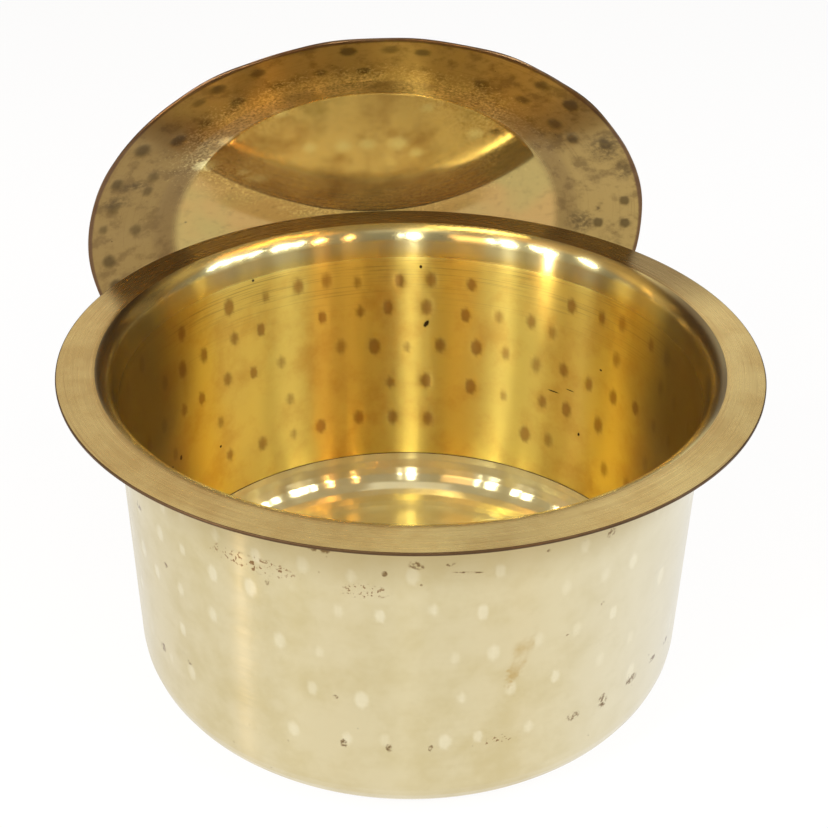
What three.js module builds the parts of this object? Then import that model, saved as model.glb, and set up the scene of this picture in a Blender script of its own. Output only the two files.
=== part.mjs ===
// A flat-bottomed brass cooking pot with a wide flat rim, and its loose dished lid.
// Both are spun from sheet. The lid is shown stood on its edge behind the pot, leaning
// forward on the back of the rim with its hollow face to the front.
// Millimetres, +Z up. The origin is the centre of the pot's base, on the floor.

import * as THREE from "three";

// Pot: sizes of the inside face, each taken to the sharp corner before it is rounded
const RIM_RADIUS = 127;
const MOUTH_RADIUS = 106.6;
const FLOOR_RADIUS = 104.6;
const POT_HEIGHT = 131;
const POT_SHEET = 1.2;
const POT_CORNER_RADIUS = 17.5;
const POT_SHOULDER_RADIUS = 11.5;

// Lid: the hollow face, from its flat middle up over a narrow step and a hammered band
const LID_STEP_CLEARANCE = 11.8; // the step drops into the mouth with this much room
const LID_STEP_WIDTH = 10.2;
const LID_STEP_DEPTH = 3.9;
const LID_BAND_DEPTH = 7.9;
const LID_EDGE_INSET = 5; // the lid's edge stops this far inside the rim's edge
const LID_SHEET = 1.1;
const LID_BEND_RADIUS = 3;

// Both edges are filed soft
const EDGE_RADIUS = 0.4;

// Lid as it stands in the picture
const LID_LEAN = THREE.MathUtils.degToRad(24.2);
const LID_TURN = THREE.MathUtils.degToRad(7.2);
const LID_SHIFT = -3.6; // sideways, from the point of the rim that it leans on
const LID_REST_GAP = 0.3;

// Fineness of the curves
const SEGMENTS_AROUND = 96;
const CHORD_ERROR = 0.06;
const FEWEST_STEPS = 2;

const POT_BRASS = new THREE.MeshStandardMaterial({ color: 0xd6bd78, roughness: 0.24, metalness: 1 });
const LID_BRASS = new THREE.MeshStandardMaterial({ color: 0xa8823f, roughness: 0.38, metalness: 1 });

function corner(radius, height, bend = 0) {
  return { at: new THREE.Vector2(radius, height), bend };
}

// Unit directions in which a line of corners arrives at one of them and leaves it
function headings(corners, index) {
  const at = corners[index].at;
  const arriving = corners[index - 1] && at.clone().sub(corners[index - 1].at).normalize();
  const leaving = corners[index + 1] && corners[index + 1].at.clone().sub(at).normalize();
  return { arriving: arriving || leaving, leaving: leaving || arriving };
}

// The far face of a sheet: each corner moved one thickness to the right of the line,
// with its bend opened on the outside of a turn and closed on the inside
function farFace(corners, sheet) {
  return corners.map(({ at, bend }, index) => {
    const { arriving, leaving } = headings(corners, index);
    const rightOf = (heading) => new THREE.Vector2(heading.y, -heading.x);
    const square = rightOf(arriving);
    const mitre = square.clone().add(rightOf(leaving));
    mitre.multiplyScalar(sheet / (1 + square.dot(rightOf(leaving))));
    const side = Math.sign(arriving.cross(leaving));
    return { at: at.clone().add(mitre), bend: bend + side * sheet };
  });
}

// Turns a line of corners into points, with an arc at each bend
function roundCorners(corners) {
  return corners.flatMap(({ at, bend }, index) => {
    if (!bend) {
      return [at];
    }
    const { arriving, leaving } = headings(corners, index);
    const turn = Math.atan2(arriving.cross(leaving), arriving.dot(leaving));
    const start = at.clone().addScaledVector(arriving, -bend * Math.tan(Math.abs(turn) / 2));
    const inward = new THREE.Vector2(-arriving.y, arriving.x).multiplyScalar(Math.sign(turn) * bend);
    const centre = start.clone().add(inward);
    const widestStep = 2 * Math.acos(1 - Math.min(CHORD_ERROR / bend, 1));
    const steps = Math.max(FEWEST_STEPS, Math.ceil(Math.abs(turn) / widestStep));
    return Array.from({ length: steps + 1 }, (_, step) =>
      start.clone().rotateAround(centre, (turn * step) / steps),
    );
  });
}

// Closed half section of a spun sheet: along its near face from the axis out to the edge,
// round the softened edge and back to the axis along its far face
function spunSection(nearFace, sheet) {
  const edge = nearFace.at(-1);
  const far = farFace(nearFace, sheet);
  const axisEnd = far[0];
  const farEdge = far.at(-1);
  return roundCorners([
    ...nearFace.slice(0, -1),
    corner(edge.at.x, edge.at.y, EDGE_RADIUS),
    corner(farEdge.at.x, farEdge.at.y, EDGE_RADIUS),
    ...far.slice(1, -1).reverse(),
    corner(axisEnd.at.x, axisEnd.at.y),
  ]);
}

// Spins a section about +Z
function spin(section, material, name) {
  const geometry = new THREE.LatheGeometry(section.toReversed(), SEGMENTS_AROUND);
  geometry.rotateX(Math.PI / 2);
  const mesh = new THREE.Mesh(geometry, material);
  mesh.name = name;
  return mesh;
}

// How far a spun piece reaches in a direction tilted up from level by an angle
function reach(section, angle) {
  return Math.max(...section.map(({ x, y }) => x * Math.cos(angle) + y * Math.sin(angle)));
}

const potSection = spunSection(
  [
    corner(0, POT_SHEET),
    corner(FLOOR_RADIUS, POT_SHEET, POT_CORNER_RADIUS),
    corner(MOUTH_RADIUS, POT_HEIGHT, POT_SHOULDER_RADIUS),
    corner(RIM_RADIUS, POT_HEIGHT),
  ],
  POT_SHEET,
);

const stepOuterRadius = MOUTH_RADIUS - LID_STEP_CLEARANCE;
const lidSection = spunSection(
  [
    corner(0, 0),
    corner(stepOuterRadius - LID_STEP_WIDTH, 0, LID_BEND_RADIUS),
    corner(stepOuterRadius, LID_STEP_DEPTH, LID_BEND_RADIUS),
    corner(RIM_RADIUS - LID_EDGE_INSET, LID_STEP_DEPTH + LID_BAND_DEPTH),
  ],
  LID_SHEET,
);

// The leaning lid: its lowest edge on the floor, its flat middle against the rim's back edge
const lidMiddleHeight = reach(lidSection, LID_LEAN);
const lidPlane = reach(potSection, LID_LEAN) + LID_REST_GAP;
const lidLeaning = new THREE.Group();
lidLeaning.add(spin(lidSection, LID_BRASS, "lid"));
lidLeaning.rotation.x = Math.PI / 2 + LID_LEAN;
lidLeaning.position.set(
  LID_SHIFT,
  (lidPlane - lidMiddleHeight * Math.sin(LID_LEAN)) / Math.cos(LID_LEAN),
  lidMiddleHeight,
);
const lidTurned = new THREE.Group();
lidTurned.add(lidLeaning);
lidTurned.rotation.z = LID_TURN;

const cookingPot = new THREE.Group();
cookingPot.add(spin(potSection, POT_BRASS, "pot"), lidTurned);

export default cookingPot;
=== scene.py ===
import math

import bpy
import numpy as np
from mathutils import Matrix, Vector


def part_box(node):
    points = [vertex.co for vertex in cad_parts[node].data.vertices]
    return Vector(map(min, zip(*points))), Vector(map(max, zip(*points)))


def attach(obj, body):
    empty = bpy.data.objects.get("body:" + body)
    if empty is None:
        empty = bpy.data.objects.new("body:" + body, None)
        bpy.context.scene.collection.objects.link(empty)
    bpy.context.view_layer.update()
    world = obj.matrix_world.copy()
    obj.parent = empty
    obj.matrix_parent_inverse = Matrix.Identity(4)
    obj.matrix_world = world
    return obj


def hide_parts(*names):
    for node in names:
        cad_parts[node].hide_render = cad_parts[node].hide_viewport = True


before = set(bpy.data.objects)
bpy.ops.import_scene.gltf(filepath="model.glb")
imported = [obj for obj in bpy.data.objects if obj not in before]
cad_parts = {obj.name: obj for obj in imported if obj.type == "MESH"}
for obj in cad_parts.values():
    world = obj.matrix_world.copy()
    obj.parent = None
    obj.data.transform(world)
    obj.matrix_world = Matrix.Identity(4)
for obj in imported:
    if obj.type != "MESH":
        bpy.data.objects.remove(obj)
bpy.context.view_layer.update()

# Sizes, in metres. The overall ones come from the pot's part in model.glb. An azimuth is measured
# round the pot in degrees, 0 at the front and positive to the right.
MM = 0.001
RIM_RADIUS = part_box("pot")[1].x
POT_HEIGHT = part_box("pot")[1].z
POT_SHEET = 1.2 * MM
MOUTH_RADIUS = 106.6 * MM
FLOOR_RADIUS = 104.6 * MM
POT_CORNER_RADIUS = 17.5 * MM
# Near its top the wall opens a little and then bends over into the rim
FLARE_HEIGHT = 14 * MM
FLARE_START_RADIUS = MOUTH_RADIUS - 0.2 * MM
FLARE_END_RADIUS = MOUTH_RADIUS + 2.4 * MM
FLARE_BEND = 25 * MM
RIM_BEND = 7 * MM
SHOULDER_RADIUS = 11.5 * MM  # of the one arc that the flare and the bend come close to
RIM_FLAT_FROM = MOUTH_RADIUS + 6.5 * MM  # the rim is rubbed from here outwards
CORNER_LINE_HEIGHT = POT_SHEET + POT_CORNER_RADIUS  # a line scored inside, where the wall starts
CORNER_LINE_WIDTH = 0.5 * MM
CORNER_LINE_DEPTH = 0.15 * MM

LID_SHEET = 1.1 * MM
LID_EDGE_RADIUS = RIM_RADIUS - 5 * MM
LID_STEP_OUTER = MOUTH_RADIUS - 11.8 * MM
LID_STEP_INNER = LID_STEP_OUTER - 10.2 * MM
LID_STEP_DEPTH = 3.9 * MM
LID_BAND_DEPTH = 7.9 * MM
LID_BEND_RADIUS = 3 * MM
LID_LEAN = math.radians(24.2)
LID_TURN = math.radians(7.2)
LID_SHIFT = -3.6 * MM
LID_REST_GAP = 0.3 * MM

EDGE_RADIUS = 0.4 * MM

# Distances along the sheet from the middle of the pot's floor, to the rim's edge and to the shoulder
TO_RIM_EDGE = (FLOOR_RADIUS + POT_HEIGHT - POT_SHEET + RIM_RADIUS - MOUTH_RADIUS
               - (2 - math.pi / 2) * (POT_CORNER_RADIUS + SHOULDER_RADIUS))
TO_SHOULDER = TO_RIM_EDGE - (RIM_RADIUS - MOUTH_RADIUS) - (math.pi / 2 - 1) * SHOULDER_RADIUS

# Fineness of the meshes
ARC_STEP = math.radians(12)
SUPPORT_DISTANCE = 0.7 * MM  # from each end of a straight run to the point that keeps it flat
FINE_SPACING = 1.9 * MM
COARSE_SPACING = 5 * MM
POT_COLUMNS = 408
LID_COLUMNS = 560


# Spun sheets

def cross(a, b):
    """Positive where b is to the left of a."""
    return a[0] * b[1] - a[1] * b[0]


def headings(corners, index):
    """Unit directions in which a line of corners arrives at one of them and leaves it."""
    here = np.array(corners[index][:2])
    arriving = leaving = None
    if index > 0:
        arriving = here - corners[index - 1][:2]
    if index + 1 < len(corners):
        leaving = corners[index + 1][:2] - here
    arriving = leaving if arriving is None else arriving
    leaving = arriving if leaving is None else leaving
    return arriving / np.hypot(*arriving), leaving / np.hypot(*leaving)


def far_face(corners, sheet):
    """Each corner moved one thickness to the right of the line, its bend changed to match."""
    moved = []
    for index, (radius, height, bend) in enumerate(corners):
        arriving, leaving = headings(corners, index)
        first = np.array([arriving[1], -arriving[0]])
        second = np.array([leaving[1], -leaving[0]])
        mitre = (first + second) * sheet / (1 + first @ second)
        side = np.sign(cross(arriving, leaving))
        moved.append((radius + mitre[0], height + mitre[1], bend + side * sheet))
    return moved


def round_corners(corners):
    """A line of points through the corners, with an arc at each bend."""
    line = []
    for index, (radius, height, bend) in enumerate(corners):
        here = np.array([radius, height])
        if not bend:
            line.append(here)
            continue
        arriving, leaving = headings(corners, index)
        turn = math.atan2(cross(arriving, leaving), arriving @ leaving)
        start = here - arriving * bend * math.tan(abs(turn) / 2)
        arm = np.array([arriving[1], -arriving[0]]) * math.copysign(bend, turn)
        steps = max(2, math.ceil(abs(turn) / ARC_STEP))
        for step in range(steps + 1):
            c, s = math.cos(turn * step / steps), math.sin(turn * step / steps)
            line.append(start - arm + [c * arm[0] - s * arm[1], s * arm[0] + c * arm[1]])
    return line


def divide_runs(line, fine):
    """Adds points along the straight runs, close to each end and at fine or coarse spacing.

    fine tells whether a run whose middle is at a radius and height gets the fine spacing.
    """
    points = [line[0]]
    for before, after in zip(line, line[1:]):
        run = after - before
        length = np.hypot(*run)
        if length > 4 * SUPPORT_DISTANCE:
            spacing = FINE_SPACING if fine(*(before + after) / 2) else COARSE_SPACING
            close = SUPPORT_DISTANCE / length
            parts = max(1, round((1 - 2 * close) * length / spacing))
            shares = np.linspace(close, 1 - close, parts + 1)
            points += [before + run * share for share in shares]
        points.append(after)
    return points


def spun_section(near, sheet, fine):
    """Closed half section of a sheet, out along its near face and back along its far face."""
    far = far_face(near, sheet)
    soft_edge = [(*near[-1][:2], EDGE_RADIUS), (*far[-1][:2], EDGE_RADIUS)]
    corners = near[:-1] + soft_edge + far[-2:0:-1] + [(*far[0][:2], 0)]
    return np.array(divide_runs(round_corners(corners), fine))


def section_normals(section):
    """Outward normals of a section at all its points but the two on the axis."""
    ahead = section[2:] - section[:-2]
    ahead /= np.hypot(*ahead.T)[:, None]
    return np.stack([-ahead[:, 1], ahead[:, 0]], axis=1)


def spin(name, section, columns, hammer, place):
    """A closed mesh from a half section, set in its place.

    hammer gives each vertex's move along its outward normal and how deep in a hammer mark it is.
    Each vertex keeps three values for the materials: "spun", the cosine and sine of its angle and its
    distance along the sheet from the middle, "grooves", the way round the piece, and "hammered".
    """
    normals = section_normals(section)
    turns = np.linspace(0, 2 * math.pi, columns, endpoint=False)
    angles, radius = np.meshgrid(turns, section[1:-1, 0])
    height = np.meshgrid(turns, section[1:-1, 1])[1]
    travelled = np.cumsum(np.hypot(*np.diff(section, axis=0).T))
    from_middle = np.minimum(travelled, travelled[-1] - travelled)
    along = np.meshgrid(turns, from_middle[:-1])[1]
    moved, hammered = hammer(angles, radius, height, normals)
    radius = radius + moved * normals[:, :1]
    height = height + moved * normals[:, 1:]

    turn, shift = np.array(place)[:3, :3], np.array(place)[:3, 3]
    rings = np.stack([radius * np.cos(angles), radius * np.sin(angles), height], axis=-1)
    poles = [(0, 0, section[0, 1]), (0, 0, section[-1, 1])]
    vertices = np.vstack([rings.reshape(-1, 3), poles]) @ turn.T + shift
    mesh = bpy.data.meshes.new(name)
    mesh.from_pydata(vertices.tolist(), [], ring_faces(len(section) - 2, columns))
    mesh.polygons.foreach_set("use_smooth", [True] * len(mesh.polygons))

    spun = np.stack([np.cos(angles), np.sin(angles), along], axis=-1).reshape(-1, 3)
    circling = np.stack([-np.sin(angles), np.cos(angles), 0 * angles], axis=-1).reshape(-1, 3)
    keep(mesh, "spun", "FLOAT_VECTOR", np.vstack([spun, np.zeros((2, 3))]))
    keep(mesh, "grooves", "FLOAT_VECTOR", np.vstack([circling, [(1, 0, 0), (1, 0, 0)]]) @ turn.T)
    keep(mesh, "hammered", "FLOAT", np.append(hammered.ravel(), [0, 0]))
    mesh.update()
    piece = bpy.data.objects.new(name, mesh)
    bpy.context.scene.collection.objects.link(piece)
    return piece


def keep(mesh, name, kind, values):
    """Stores a value at each vertex for the materials to read."""
    layer = mesh.attributes.new(name, kind, "POINT")
    layer.data.foreach_set("vector" if kind == "FLOAT_VECTOR" else "value", np.ravel(values))


def ring_faces(rows, columns):
    """Faces over rings of vertices and the two at the poles, which come last."""
    first_pole, last_pole = rows * columns, rows * columns + 1
    faces = []
    for column in range(columns):
        after = (column + 1) % columns
        faces.append((first_pole, column, after))
        for low in range(0, (rows - 1) * columns, columns):
            high = low + columns
            faces.append((low + column, high + column, high + after, low + after))
        low = (rows - 1) * columns
        faces.append((last_pole, low + after, low + column))
    return faces


# Hammer marks

WAVES = 24


def ripple(rng, angles, along, turns, pitch):
    """A gently uneven surface of about unit height, made of waves that close round the piece.

    turns gives the fewest and most waves round it, and pitch the most radians in a metre along it.
    """
    total = np.zeros_like(angles)
    for _ in range(WAVES):
        phase = rng.uniform(0, 2 * math.pi)
        total += np.cos(rng.integers(*turns) * angles + rng.uniform(-pitch, pitch) * along + phase)
    return total / math.sqrt(WAVES)


ROW_STRAY = 1.5  # millimetres that a mark is off its row at most


def strike(rows, half_width, half_length, jitter, rng):
    """Hammer marks in rows, each with its place along the section, how many, and one's angle.

    jitter is how far a mark strays from its even place, as a share of half their spacing.
    """
    marks = []
    for along, count, start in rows:
        for turn in np.arange(count) * 2 * math.pi / count:
            angle = start + turn + rng.uniform(-jitter, jitter) * math.pi / count
            place = along + rng.uniform(-ROW_STRAY, ROW_STRAY) * MM
            size = rng.uniform(0.8, 1.15)
            force = rng.choice([0.0, 0.6, 0.8, 1.0])
            marks.append((angle, place, half_width * size, half_length * size, force))
    return marks


def dents(angles, along, radius, marks):
    """Depth of oval marks, from 0 to 1."""
    depth = np.zeros_like(angles)
    for angle, place, half_width, half_length, force in marks:
        turn = (angles - angle + math.pi) % (2 * math.pi) - math.pi
        span = (turn * radius / half_width) ** 2 + ((along - place) / half_length) ** 2
        depth = np.maximum(depth, force * np.clip(1.15 - span, 0, 1))
    return depth


def round_to(azimuth):
    """Angle from +X of an azimuth."""
    return math.radians(azimuth - 90)


# Rows of marks on the pot's wall: height, how many round it, and where one of them is
POT_MARK_ROWS = [
    (108 * MM, 43, round_to(242)),
    (93 * MM, 44, round_to(209)),
    (75 * MM, 46, round_to(212)),
    (56 * MM, 39, round_to(239.8)),
    (38 * MM, 42, round_to(237)),
]
POT_MARK_HALVES = (2.7 * MM, 4.3 * MM)
POT_MARK_DEPTH = 0.12 * MM
POT_RIPPLE = 0.02 * MM
FLOOR_RIPPLE = 0.05 * MM
WALL_STARTS = 20 * MM  # the hammering fades in from this height up
WALL_FADE = 8 * MM
FLOOR_UNEVEN = 80 * MM  # the floor's unevenness fades out before this radius
FLOOR_FADE = 15 * MM
POLE_FADE = 40 * MM  # and in from its middle


def hammer_pot(angles, radius, height, normals):
    rng = np.random.default_rng(11)
    marks = strike(POT_MARK_ROWS, *POT_MARK_HALVES, 0.35, rng)
    depth = dents(angles, height, MOUTH_RADIUS, marks)
    upright = np.abs(normals[:, :1]) > 0.98
    wall = upright * np.clip((height - WALL_STARTS) / WALL_FADE, 0, 1)
    uneven = ripple(rng, angles, height, (5, 36), 60)
    inward = -np.sign(normals[:, :1]) * wall
    level = (normals[:, 1:] > 0.98) * (height < POT_HEIGHT / 2)
    floor = level * np.clip((FLOOR_UNEVEN - radius) / FLOOR_FADE, 0, 1)
    wavy = ripple(rng, angles, radius, (1, 5), 60) * np.clip(radius / POLE_FADE, 0, 1)
    moved = inward * (depth * POT_MARK_DEPTH + uneven * POT_RIPPLE) + floor * wavy * FLOOR_RIPPLE
    return moved, depth * wall


LID_MARK_ROWS = [(115 * MM, 44, math.radians(121)), (103.5 * MM, 38, math.radians(93))]
LID_MARK_HALVES = (4.4 * MM, 3.1 * MM)
LID_MARK_DEPTH = 0.15 * MM
LID_RIPPLE = 0.12 * MM
LID_MIDDLE_RIPPLE = 0.3  # of the band's
LID_EDGE_WARP = 0.25 * MM
LID_POLE_FADE = 30 * MM  # its unevenness fades in from its middle


def hammer_lid(angles, radius, height, normals):
    rng = np.random.default_rng(5)
    marks = strike(LID_MARK_ROWS, *LID_MARK_HALVES, 0.5, rng)
    depth = dents(angles, radius, radius, marks)
    band = np.clip((radius - LID_STEP_OUTER) / (3 * MM), 0, 1)
    strength = LID_MIDDLE_RIPPLE + (1 - LID_MIDDLE_RIPPLE) * band
    uneven = ripple(rng, angles, radius, (3, 30), 90) * strength * LID_RIPPLE
    warp = ripple(rng, angles, radius * 0, (5, 22), 0) * LID_EDGE_WARP
    faces = -np.sign(normals[:, 1:]) * (np.abs(normals[:, 1:]) > 0.5)
    flat = faces * np.clip(radius / LID_POLE_FADE, 0, 1)
    edge = normals[:, :1] * (radius > LID_EDGE_RADIUS - MM)
    return flat * (depth * band * LID_MARK_DEPTH + uneven) + edge * warp, depth * band


# Materials

def linear(hex_colour):
    """An sRGB hex colour as linear red, green, blue and alpha."""
    channels = [int(hex_colour[i:i + 2], 16) / 255 for i in (1, 3, 5)]
    return [c / 12.92 if c <= 0.04045 else ((c + 0.055) / 1.055) ** 2.4 for c in channels] + [1.0]


def add(tree, kind, inputs=None, **settings):
    """Adds a node. Each input is named or numbered, and gets a value or another node's output."""
    node = tree.nodes.new(kind)
    for name, value in settings.items():
        setattr(node, name, value)
    for name, value in (inputs or {}).items():
        if isinstance(value, bpy.types.NodeSocket):
            tree.links.new(value, node.inputs[name])
        else:
            node.inputs[name].default_value = value
    return node


LATHE_LINE_PITCH = 0.7 * MM  # the real ones are finer, and would not show in the picture


def spun_brass(name, metallic, anisotropy, line_depth):
    """Brass turned on a lathe: its fine grooves run round it and draw each light out across them.

    A little less than fully metallic is a thin dull film of tarnish. Returns the material and two node
    outputs: the height of the grooves from 0 to 1, and a cloudy unevenness about as large as a thumb.
    """
    material = bpy.data.materials.new(name)
    material.use_nodes = True
    tree = material.node_tree
    shader = tree.nodes["Principled BSDF"]
    shader.inputs["Metallic"].default_value = metallic
    shader.inputs["Anisotropic"].default_value = anisotropy
    shader.inputs["Anisotropic Rotation"].default_value = 0.25
    grooves = add(tree, "ShaderNodeAttribute", attribute_name="grooves")
    tree.links.new(grooves.outputs["Vector"], shader.inputs["Tangent"])
    spun = add(tree, "ShaderNodeAttribute", attribute_name="spun")
    stretch = {"Vector": spun.outputs["Vector"], "Scale": (3, 3, 1 / LATHE_LINE_PITCH)}
    stretched = add(tree, "ShaderNodeMapping", stretch)
    turned = {"Vector": stretched.outputs[0], "Scale": 1.0, "Detail": 3.0, "Roughness": 0.6}
    lines = add(tree, "ShaderNodeTexNoise", turned).outputs[0]
    cloud = speckle(tree, 18 * MM, 4.0)
    raised = {"Height": lines, "Distance": line_depth, "Strength": 1.0}
    bump = add(tree, "ShaderNodeBump", raised)
    tree.links.new(bump.outputs[0], shader.inputs["Normal"])
    return material, lines, cloud


def speckle(tree, size, detail):
    """Noise from 0 to 1 with patches of about a size, at the same place on the object in every pose."""
    place = add(tree, "ShaderNodeTexCoord").outputs["Object"]
    grain = {"Vector": place, "Scale": 1 / size, "Detail": detail, "Roughness": 0.6}
    return add(tree, "ShaderNodeTexNoise", grain).outputs[0]


def worn(tree, amount, low, high):
    """Roughness from low to high as amount goes from 0.3 to 0.7, where most of a noise lies."""
    limits = {"Value": amount, "From Min": 0.3, "From Max": 0.7, "To Min": low, "To Max": high}
    rubbed = add(tree, "ShaderNodeMapRange", limits)
    tree.links.new(rubbed.outputs[0], tree.nodes["Principled BSDF"].inputs["Roughness"])


def coloured(material, colour):
    """Gives a material its colour and returns it."""
    tree = material.node_tree
    tree.links.new(colour, tree.nodes["Principled BSDF"].inputs["Base Color"])
    return material


def share(tree, value, low, high, most=1.0):
    """A smooth step from 0 to most as value goes from low to high."""
    limits = {"Value": value, "From Min": low, "From Max": high, "To Max": most}
    return add(tree, "ShaderNodeMapRange", limits, interpolation_type="SMOOTHSTEP").outputs[0]


def mixed(tree, part, first, second):
    """A colour that goes from first to second with part. Each is a hex colour or a node's output."""
    pair = [linear(colour) if isinstance(colour, str) else colour for colour in (first, second)]
    return add(tree, "ShaderNodeMix", {0: part, 6: pair[0], 7: pair[1]}, data_type="RGBA").outputs[2]


def on_sheet(tree, axis):
    """Where on its spun sheet a point is.

    X goes from -1 at the left to 1 at the right, Y from the front to the back, and Z is the
    distance along the sheet from its middle.
    """
    spun = add(tree, "ShaderNodeAttribute", attribute_name="spun").outputs["Vector"]
    return add(tree, "ShaderNodeSeparateXYZ", {0: spun}).outputs[axis]


def hammered(tree):
    """How deep in a hammer mark a point is, from 0 to 1."""
    return add(tree, "ShaderNodeAttribute", attribute_name="hammered").outputs["Fac"]


def both(tree, first, second):
    """The product of two amounts."""
    return add(tree, "ShaderNodeMath", {0: first, 1: second}, operation="MULTIPLY").outputs[0]


def spots(tree, places, core=0.65, reach=1.25):
    """1 in a ragged oval at each place, fading to 0 from core to reach of its half sizes.

    Each place is a matrix and three half sizes.
    """
    position = add(tree, "ShaderNodeTexCoord").outputs["Object"]
    grit = speckle(tree, 1.2 * MM, 3.0)
    total = 0.0
    for place, halves in places:
        centre, turn = place.to_translation(), place.to_euler()
        frame_of = {"Vector": position, "Location": centre, "Rotation": turn, "Scale": halves}
        local = add(tree, "ShaderNodeMapping", frame_of, vector_type="TEXTURE").outputs[0]
        distance = add(tree, "ShaderNodeVectorMath", {0: local}, operation="LENGTH").outputs["Value"]
        ragged = add(tree, "ShaderNodeMath", {0: distance, 1: grit}, operation="ADD").outputs[0]
        inside = share(tree, ragged, reach + 0.5, core + 0.5)
        total = add(tree, "ShaderNodeMath", {0: inside, 1: total}, operation="MAXIMUM").outputs[0]
    return total


# How far spots reach through the sheet, each way
WALL_SPOT_REACH = 6 * MM
LID_SPOT_REACH = 12 * MM


def on_wall(azimuth, height, half_width, half_height, tilt=0):
    """A place on the pot's wall for spots, in degrees and millimetres."""
    turn = Matrix.Rotation(math.radians(azimuth), 4, "Z")
    out = Matrix.Translation((0, -MOUTH_RADIUS, height * MM))
    lean = Matrix.Rotation(math.radians(-tilt), 4, "Y")
    return turn @ out @ lean, (half_width * MM, WALL_SPOT_REACH, half_height * MM)


# Dark stains on the outside, under the rim and round the foot of the wall
OUTSIDE_STAINS = [
    on_wall(-14.5, 115.2, 4.2, 1.3),
    on_wall(1.2, 112, 2.6, 1.4, -20),
    on_wall(7, 112, 1.7, 0.6, 5),
    on_wall(10, 108.4, 5, 0.35, -7),
    on_wall(37.3, 110, 2, 1.7, 40),
    on_wall(-4, 108.5, 1, 1.1),
    on_wall(24, 111.5, 0.7, 0.6),
    on_wall(31.3, 111, 0.7, 0.5),
    on_wall(-24.8, 97.5, 0.8, 1.4),
    on_wall(-60.8, 95, 2.4, 1.5),
    on_wall(-51, 81, 1.4, 1.0),
    on_wall(37, 81, 0.9, 0.9),
    on_wall(-12.8, 55.5, 0.9, 0.8),
    on_wall(-46, 43.5, 1.2, 1.0),
    on_wall(-56.4, 38, 2, 2),
    on_wall(-11.5, 35, 1.2, 1.8),
    on_wall(-3.2, 35, 1.2, 1.8),
    on_wall(4.3, 35, 0.8, 1.6),
    on_wall(32.6, 35, 2.6, 1.8),
    on_wall(40, 34.5, 2.2, 3.2),
    on_wall(48.6, 35, 3.4, 1.8),
    on_wall(57, 34, 2.4, 1.2),
    on_wall(64.3, 33, 2.6, 1.4),
]
# Clusters of shallow pits, and a long ochre smear
OUTSIDE_PITTED = [on_wall(-7.2, 101, 7, 2.6), on_wall(-28, 103, 16, 3), on_wall(17, 35, 5, 2)]
OUTSIDE_SMEARS = [on_wall(20.6, 72, 3.0, 13, -20), on_wall(20.3, 73.5, 3.5, 4)]


def outside_brass():
    """Bright buffed brass: pale as the floor that it mirrors, with stains, a painted highlight in its
    lens-like marks, painted light towards the right and painted shade under the rim.
    """
    material, lines, cloud = spun_brass("outside_brass", 1.0, 1.0, 0.0015 * MM)
    tree = material.node_tree
    worn(tree, lines, 0.14, 0.19)
    colour = mixed(tree, share(tree, cloud, 0.35, 0.75), "#D9CCA4", "#CFC092")
    # Painted light: paler towards the right, where the brass mirrors brighter, cooler surroundings.
    colour = mixed(tree, share(tree, on_sheet(tree, "X"), 0.3, 0.9, 0.6), colour, "#E8E3CE")
    # Painted highlight: the hammer marks are paler, for the light that they mirror.
    colour = mixed(tree, share(tree, hammered(tree), 0.2, 0.9, 0.4), colour, "#F6EFD2")
    # Painted shade: darker in a band just under the rim.
    shade_under_rim = share(tree, on_sheet(tree, "Z"), TO_SHOULDER - 20 * MM, TO_SHOULDER + MM, 0.7)
    colour = mixed(tree, shade_under_rim, colour, "#AE9A68")
    smear = both(tree, spots(tree, OUTSIDE_SMEARS), share(tree, cloud, 0.3, 0.6, 0.7))
    colour = mixed(tree, smear, colour, "#B99A55")
    pits = share(tree, speckle(tree, 1.3 * MM, 1.0), 0.55, 0.64, 0.85)
    colour = mixed(tree, both(tree, spots(tree, OUTSIDE_PITTED), pits), colour, "#7E5428")
    specks = share(tree, speckle(tree, 2.2 * MM, 1.0), 0.79, 0.83, 0.6)
    colour = mixed(tree, specks, colour, "#7A6038")
    broken = share(tree, speckle(tree, 1.6 * MM, 4.0), 0.38, 0.6, 0.85)
    stain = both(tree, spots(tree, OUTSIDE_STAINS), broken)
    colour = mixed(tree, stain, colour, "#6A4A20")
    return coloured(material, colour)


def rim_brass():
    """Satin brass, rubbed round by many lids: soft reflections, tan, with painted shade: browner
    towards the mouth and darker at the back.
    """
    material, lines, cloud = spun_brass("rim_brass", 0.95, 0.85, 0.004 * MM)
    tree = material.node_tree
    worn(tree, lines, 0.24, 0.32)
    colour = mixed(tree, share(tree, cloud, 0.35, 0.7), "#DCC98F", "#CDB57B")
    colour = mixed(tree, share(tree, lines, 0.55, 0.75, 0.35), colour, "#B08C58")
    # Painted shade: darker at the back, where the rim mirrors the lid.
    colour = mixed(tree, share(tree, on_sheet(tree, "Y"), 0.2, 0.55, 0.75), colour, "#6E5830")
    # Painted shade: browner towards the mouth, where the rim mirrors the dark inside.
    shade_near_mouth = share(tree, on_sheet(tree, "Z"), TO_RIM_EDGE - 9 * MM, TO_RIM_EDGE - 14 * MM, 0.4)
    colour = mixed(tree, shade_near_mouth, colour, "#A5834F")
    return coloured(material, colour)


# Nicks and specks of dirt inside
INSIDE_NICKS = [
    on_wall(176.5, 86, 1.0, 2.0, 30),
    on_wall(178, 113.5, 0.6, 0.8),
    on_wall(249.5, 52.5, 1.4, 0.9),
    on_wall(245.4, 53.5, 0.9, 1.2),
    on_wall(218.8, 117, 0.6, 0.6),
    on_wall(143.5, 64, 3.0, 0.3),
    on_wall(139, 67.5, 2.0, 0.25),
    on_wall(135.4, 48, 0.6, 1.0),
    on_wall(130.7, 83.7, 0.7, 0.5),
    on_wall(231.4, 45.5, 0.6, 0.7),
]


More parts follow.
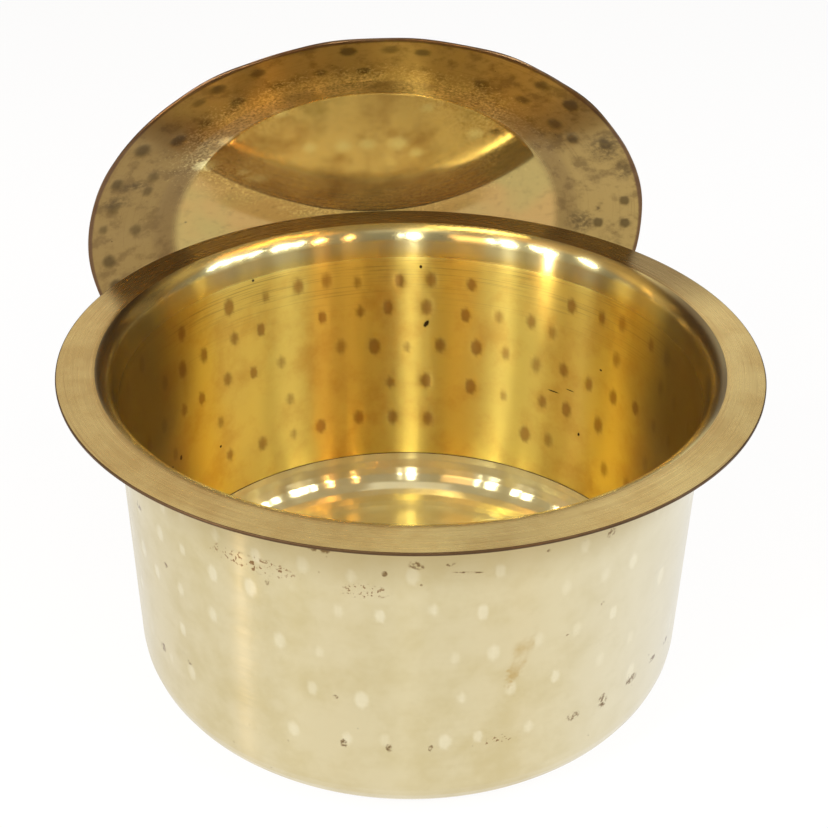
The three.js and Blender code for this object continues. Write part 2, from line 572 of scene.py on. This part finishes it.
def inside_brass():
    """Golden brass as left by the lathe, with painted brown reflections in the hammer marks and painted
    shade towards the wall's left and right ends.
    """
    material, lines, cloud = spun_brass("inside_brass", 0.94, 1.0, 0.002 * MM)
    tree = material.node_tree
    travelled = on_sheet(tree, "Z")
    worn(tree, share(tree, travelled, TO_SHOULDER - 4 * MM, TO_SHOULDER + 2 * MM), 0.30, 0.19)
    colour = mixed(tree, share(tree, cloud, 0.4, 0.75), "#ECD36C", "#DEB858")
    turned = both(tree, share(tree, travelled, TO_SHOULDER - 35 * MM, TO_SHOULDER, 0.6),
                  share(tree, lines, 0.5, 0.7))
    colour = mixed(tree, turned, colour, "#B08F50")
    # Painted reflection: the hammer marks are browner, for the darker things that they mirror.
    colour = mixed(tree, share(tree, hammered(tree), 0.0, 0.8, 0.75), colour, "#9C6E34")
    # Paler on the shoulder: partly its brighter polish, partly a painted reflection of the light above
    # it.
    shoulder = share(tree, travelled, TO_SHOULDER - 3 * MM, TO_SHOULDER + 5 * MM)
    colour = mixed(tree, shoulder, colour, "#DCCF96")
    # Painted shade: the wall darkens towards its far left and right.
    shade_to_sides = add(tree, "ShaderNodeMath", {0: on_sheet(tree, "X")}, operation="ABSOLUTE").outputs[0]
    colour = mixed(tree, share(tree, shade_to_sides, 0.8, 0.96, 0.9), colour, "#6A5C48")
    colour = mixed(tree, spots(tree, INSIDE_NICKS), colour, "#3E2E18")
    return coloured(material, colour)


def floor_brass():
    """Turned brass under a pale dull film, brighter in the rounded corner."""
    material, _, cloud = spun_brass("floor_brass", 0.62, 1.0, 0.002 * MM)
    tree = material.node_tree
    corner = share(tree, on_sheet(tree, "Z"), 72 * MM, 88 * MM)
    worn(tree, corner, 0.25, 0.13)
    colour = mixed(tree, share(tree, cloud, 0.35, 0.7), "#E8DFAE", "#DFD29A")
    return coloured(material, colour)


def edge_brass():
    """Dark brown, on the rim's edge as a painted shadow under the rim, and in the scored line."""
    material, _, cloud = spun_brass("edge_brass", 0.7, 0.4, 0.01 * MM)
    tree = material.node_tree
    worn(tree, cloud, 0.4, 0.6)
    return coloured(material, mixed(tree, cloud, "#5E4628", "#3E2C18"))


def lid_brass(place):
    """Unpolished old brass: a tan middle, a browner mottled band, and dark marks, smudges and pits."""
    material, lines, cloud = spun_brass("lid_brass", 0.9, 0.6, 0.003 * MM)
    tree = material.node_tree
    radius = on_sheet(tree, "Z")
    off_middle = share(tree, radius, LID_STEP_INNER - 2 * MM, LID_STEP_INNER + 4 * MM)
    worn(tree, off_middle, 0.14, 0.28)
    mottled = share(tree, speckle(tree, 9 * MM, 5.0), 0.46, 0.66, 0.8)
    band = mixed(tree, mottled, "#B09458", "#80683C")
    band = mixed(tree, share(tree, lines, 0.55, 0.75, 0.3), band, "#806438")
    middle = mixed(tree, share(tree, speckle(tree, 45 * MM, 2.0), 0.4, 0.6), "#C6A263", "#BBA565")
    colour = mixed(tree, off_middle, middle, band)
    # Painted shade: the band darkens towards the left, where it mirrors the shaded floor beside the
    # pot.
    shade_to_left = both(tree, off_middle, share(tree, on_sheet(tree, "X"), 0.2, -0.9, 0.4))
    colour = mixed(tree, shade_to_left, colour, "#7A5E38")
    # Painted shade: darker on the step between the middle and the band.
    shade_in_step = share(tree, radius, LID_STEP_OUTER + 4 * MM, LID_STEP_OUTER - 3 * MM, 0.4)
    colour = mixed(tree, both(tree, off_middle, shade_in_step), colour, "#735731")
    grimy = share(tree, speckle(tree, 4 * MM, 3.0), 0.5, 0.75, 0.25)
    colour = mixed(tree, grimy, colour, "#7E6438")
    colour = mixed(tree, share(tree, hammered(tree), 0.0, 0.8, 0.8), colour, "#544222")
    # Painted reflection: the upper middle is brighter, where it mirrors the pot's golden inside.
    mouth_reflection = spots(tree, [on_lid(place, *LID_MOUTH_REFLECTION)], 0.6, 1.15)
    painted_reflection = both(tree, mouth_reflection, share(tree, cloud, 0.2, 0.6, 0.95))
    colour = mixed(tree, painted_reflection, colour, "#FAE096")
    # Painted glints: small bright spots on the middle, where it mirrors the lamps.
    rubbed = [on_lid(place, *spot) for spot in LID_PAINTED_GLINTS]
    colour = mixed(tree, both(tree, spots(tree, rubbed, 0.3, 1.5), 0.9), colour, "#FFF2B0")
    smudges = [on_lid(place, *spot) for spot in LID_SMUDGES]
    sooty = share(tree, speckle(tree, 2.5 * MM, 4.0), 0.3, 0.6, 0.8)
    soot = both(tree, spots(tree, smudges, 0.3, 1.4), sooty)
    colour = mixed(tree, soot, colour, "#5A482C")
    pits = share(tree, speckle(tree, 2.2 * MM, 1.0), 0.78, 0.82, 0.7)
    colour = mixed(tree, pits, colour, "#4A3820")
    rust = share(tree, radius, LID_EDGE_RADIUS - 0.2 * MM, LID_EDGE_RADIUS + 0.8 * MM, 0.8)
    colour = mixed(tree, rust, colour, "#5E4030")
    return coloured(material, colour)


# Places on the lid: across and up from its middle, and half sizes, in millimetres. The upper part
# of its middle has a painted reflection, brighter, where it mirrors the pot's golden inside.
LID_MOUTH_REFLECTION = (-5, 56, 68, 44)

# Sooty smudges and pits, the same way
LID_SMUDGES = [
    (95.7, 9, 6, 7),
    (101.5, 19.7, 0.8, 1.2),
    (-80, 13.7, 0.6, 0.6),
    (-108, 37, 7, 4),
    (-100, 45, 8, 3),
    (98, 60, 8, 10),
    (108, 48, 6, 8),
    (52, 62, 3.2, 2.6),
]

# Painted glints on its middle: small bright spots where it mirrors the lamps, the same way
LID_PAINTED_GLINTS = [
    (-60, 62, 3.5, 3),
    (-38, 76, 3.5, 2.6),
    (-26, 56, 3, 3),
    (-12, 56, 3.6, 3.4),
    (-2, 57, 3.6, 3),
    (11, 57, 4.4, 3.6),
    (19, 51, 3, 2.4),
    (-69, 48, 5, 3.2),
    (-48, 39, 5, 2.6),
    (-54, 43, 2.6, 2),
    (43, 61, 3.4, 3),
    (22, 76, 3, 2.4),
]


def on_lid(place, across, up, half_width, half_height):
    """A place on the lid for spots, in millimetres."""
    middle = Matrix.Translation((across * MM, up * MM, LID_STEP_DEPTH))
    return place @ middle, (half_width * MM, half_height * MM, LID_SPOT_REACH)


# The pot

OUTSIDE, RIM, INSIDE, FLOOR, EDGE = range(5)


def score(section, height, width, depth):
    """Turns a fine groove across the inside face of a section, at a height."""
    index = int(np.argmax(section[:, 1] > height))
    low, high = section[index - 1], section[index]
    middle = low + (high - low) * (height - low[1]) / (high[1] - low[1])
    up = np.array([0, width / 2])
    groove = [middle - up, middle + [depth, 0], middle + up]
    return np.vstack([section[:index], groove, section[index:]])


def pot_zones(section):
    """The finish of each row of faces along the pot's section, from the middle of the floor inside."""
    edge = int(np.argmax(section[:, 0]))
    zones = []
    for index, (radius, height) in enumerate((section[1:] + section[:-1]) / 2):
        scored = index < edge and abs(height - CORNER_LINE_HEIGHT) < CORNER_LINE_WIDTH / 2
        # The rim's edge gets the dark finish as a painted shadow under the rim.
        shadowed_edge = abs(radius - RIM_RADIUS) < EDGE_RADIUS
        if scored or shadowed_edge:
            zones.append(EDGE)
        elif index >= edge:
            zones.append(OUTSIDE)
        elif radius > RIM_FLAT_FROM:
            zones.append(RIM)
        else:
            zones.append(FLOOR if height < CORNER_LINE_HEIGHT else INSIDE)
    return zones


def hammered_height(radius, height):
    """Whether a place on the pot's section is on the hammered part of its wall."""
    return abs(height - POT_HEIGHT / 2) < 45 * MM


def make_pot():
    inside = [
        (0, POT_SHEET, 0),
        (FLOOR_RADIUS, POT_SHEET, POT_CORNER_RADIUS),
        (FLARE_START_RADIUS, POT_HEIGHT - FLARE_HEIGHT, FLARE_BEND),
        (FLARE_END_RADIUS, POT_HEIGHT, RIM_BEND),
        (RIM_RADIUS, POT_HEIGHT, 0),
    ]
    section = spun_section(inside, POT_SHEET, hammered_height)
    scored = score(section, CORNER_LINE_HEIGHT, CORNER_LINE_WIDTH, CORNER_LINE_DEPTH)
    pot = spin("hammered_pot", scored, POT_COLUMNS, hammer_pot, Matrix.Identity(4))
    for finish in (outside_brass, rim_brass, inside_brass, floor_brass, edge_brass):
        pot.data.materials.append(finish())
    pot.data.polygons.foreach_set("material_index", pot_zones(scored) * POT_COLUMNS)
    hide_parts("pot")
    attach(pot, "pot")
    return section


# The lid

def reach(section, angle):
    """How far a spun piece reaches in a direction tilted up from level by an angle."""
    return float(np.max(section[:, 0] * math.cos(angle) + section[:, 1] * math.sin(angle)))


def lid_place(lid_section, pot_section):
    """The lid's place: its lowest edge on the floor, its flat middle against the rim's back edge."""
    middle = reach(lid_section, LID_LEAN)
    plane = reach(pot_section, LID_LEAN) + LID_REST_GAP
    back = (plane - middle * math.sin(LID_LEAN)) / math.cos(LID_LEAN)
    leaning = Matrix.Rotation(math.pi / 2 + LID_LEAN, 4, "X")
    return Matrix.Rotation(LID_TURN, 4, "Z") @ Matrix.Translation((LID_SHIFT, back, middle)) @ leaning


def off_the_middle(radius, height):
    """Whether a place on the lid's section is on its step or band."""
    return radius > LID_STEP_INNER


def make_lid(pot_section):
    hollow = [
        (0, 0, 0),
        (LID_STEP_INNER, 0, LID_BEND_RADIUS),
        (LID_STEP_OUTER, LID_STEP_DEPTH, LID_BEND_RADIUS),
        (LID_EDGE_RADIUS, LID_STEP_DEPTH + LID_BAND_DEPTH, 0),
    ]
    section = spun_section(hollow, LID_SHEET, off_the_middle)
    place = lid_place(section, pot_section)
    lid = spin("hammered_lid", section, LID_COLUMNS, hammer_lid, place)
    lid.data.materials.append(lid_brass(place))
    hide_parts("lid")
    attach(lid, "lid")


# The studio

FLOOR_HALF = 4.0
FLOOR_GLOW = 0.9  # how much of the floor is plain white to the eye and to the brass, the rest lit
ROOM_LIGHT = 0.24


def make_floor():
    mesh = bpy.data.meshes.new("floor")
    signs = [(-1, -1), (1, -1), (1, 1), (-1, 1)]
    corners = [(x * FLOOR_HALF, y * FLOOR_HALF, 0) for x, y in signs]
    mesh.from_pydata(corners, [], [(0, 1, 2, 3)])
    floor = bpy.data.objects.new("floor", mesh)
    bpy.context.scene.collection.objects.link(floor)
    material = bpy.data.materials.new("white_floor")
    material.use_nodes = True
    tree = material.node_tree
    tree.nodes.clear()
    paths = add(tree, "ShaderNodeLightPath")
    seen = {0: paths.outputs["Is Camera Ray"], 1: paths.outputs["Is Glossy Ray"]}
    shown = add(tree, "ShaderNodeMath", seen, operation="MAXIMUM")
    glowing = both(tree, shown.outputs[0], FLOOR_GLOW)
    paper = add(tree, "ShaderNodeBsdfDiffuse", {"Color": linear("#F4F4F3")})
    glow = add(tree, "ShaderNodeEmission", {"Color": (1, 1, 1, 1), "Strength": 1.0})
    pair = {0: glowing, 1: paper.outputs[0], 2: glow.outputs[0]}
    mix = add(tree, "ShaderNodeMixShader", pair)
    add(tree, "ShaderNodeOutputMaterial", {"Surface": mix.outputs[0]})
    mesh.materials.append(material)


def make_world():
    world = bpy.data.worlds.new("studio")
    bpy.context.scene.world = world
    world.use_nodes = True
    tree = world.node_tree
    tree.nodes.clear()
    paths = add(tree, "ShaderNodeLightPath")
    room = add(tree, "ShaderNodeBackground", {"Color": (1.0, 0.97, 0.92, 1), "Strength": ROOM_LIGHT})
    white = add(tree, "ShaderNodeBackground", {"Color": (1, 1, 1, 1), "Strength": 1.0})
    pair = {0: paths.outputs["Is Camera Ray"], 1: room.outputs[0], 2: white.outputs[0]}
    mix = add(tree, "ShaderNodeMixShader", pair)
    add(tree, "ShaderNodeOutputWorld", {"Surface": mix.outputs[0]})


# Strip lamps on a dome round the pot, with dark between them: azimuth of the middle, width, lowest
# and highest elevation, all in degrees, how bright they look beside white paper, and their tint
LAMP_DISTANCE = 1.5
DAYLIGHT = "#FFFFFF"
SKYLIGHT = "#E4EEFF"
BULB = "#FFC98A"
STRIPS = [
    ("front_window", -0.5, 3.5, 22, 40, 48, DAYLIGHT),
    ("front_slit", 5, 1.5, 24, 40, 16, DAYLIGHT),
    ("right_slit", 28, 1.5, 24, 40, 45, BULB),
    ("right_tube", 41.6, 2, 24, 40, 64, BULB),
    ("right_strip", 51, 1.5, 24, 40, 35, DAYLIGHT),
    ("right_pane", 56, 1.5, 24, 40, 41, DAYLIGHT),
    ("right_window", 60.6, 2.5, 24, 40, 43, DAYLIGHT),
    ("right_bay", 72, 1.5, 24, 40, 33, SKYLIGHT),
    ("right_door", 78, 1.5, 24, 40, 27, DAYLIGHT),
    ("far_right_pane", 85, 2, 24, 40, 37, DAYLIGHT),
    ("far_right_window", 92.5, 2, 24, 40, 40, SKYLIGHT),
    ("left_glow", -25, 15, 14, 44, 3.2, BULB),
    ("left_strip", -35, 2, 24, 40, 25, DAYLIGHT),
    ("left_window", -42.5, 4, 22, 40, 52, DAYLIGHT),
    ("left_tube", -56, 2, 24, 40, 41, DAYLIGHT),
    ("left_slit", -62.4, 2.5, 24, 40, 33, DAYLIGHT),
    ("left_door", -82, 3, 24, 40, 41, DAYLIGHT),
    ("far_left_bulb", -112, 2.5, 18, 46, 6, "#FFA060"),
    ("low_left_lamp", -58, 2, -3, 12, 110, "#FFE6CC"),
    ("back_left_wall", -166, 28, 6, 52, 0.6, "#FFE6C0"),
    ("back_right_wall", 165, 28, 6, 52, 0.55, "#FFEFD2"),
    ("back_slit", 166, 2, 20, 40, 1, "#FFE8C0"),
    ("back_pane", 180, 6, 27, 34, 0.8, "#F0FFE0"),
    ("ceiling", 0, 160, 64, 98, 0.8, "#F6F6FF"),
]


def make_lamps():
    for name, azimuth, width, low, high, brightness, tint in STRIPS:
        turn, rise = math.radians(azimuth), math.radians((low + high) / 2)
        data = bpy.data.lights.new(name, "AREA")
        data.shape = "RECTANGLE"
        data.size = LAMP_DISTANCE * math.radians(width) * math.cos(rise)
        data.size_y = 2 * LAMP_DISTANCE * math.tan(math.radians(high - low) / 2)
        data.energy = math.pi * data.size * data.size_y * brightness
        data.color = linear(tint)[:3]
        light = bpy.data.objects.new(name, data)
        bpy.context.scene.collection.objects.link(light)
        towards = Vector((math.sin(turn), -math.cos(turn), math.tan(rise))).normalized()
        light.location = towards * LAMP_DISTANCE + Vector((0, 0, POT_HEIGHT))
        light.rotation_euler = (-towards).to_track_quat("-Z", "Y").to_euler()


CAMERA_LENS = 62.1  # on a sensor 36 wide, which gives the photograph's field of view
CAMERA_DISTANCE = 4.1068 * RIM_RADIUS  # from the centre of the rim
CAMERA_ELEVATION = math.radians(28.06)
CAMERA_YAW = -0.0024
CAMERA_PITCH = -0.0475
CAMERA_ROLL = -0.0115


def make_camera():
    data = bpy.data.cameras.new("camera")
    data.lens = CAMERA_LENS
    camera = bpy.data.objects.new("camera", data)
    bpy.context.scene.collection.objects.link(camera)
    facing = Matrix.Rotation(math.pi / 2 - CAMERA_ELEVATION, 4, "X")
    yaw = Matrix.Rotation(CAMERA_YAW, 4, "Y")
    pitch = Matrix.Rotation(CAMERA_PITCH, 4, "X")
    roll = Matrix.Rotation(-CAMERA_ROLL, 4, "Z")
    back = CAMERA_DISTANCE * math.cos(CAMERA_ELEVATION)
    rise = CAMERA_DISTANCE * math.sin(CAMERA_ELEVATION)
    place = Matrix.Translation((0, -back, POT_HEIGHT + rise))
    camera.matrix_world = place @ facing @ yaw @ pitch @ roll
    bpy.context.scene.camera = camera


make_lid(make_pot())
make_floor()
make_world()
make_lamps()
make_camera()

bpy.context.scene.view_settings.view_transform = "Standard"
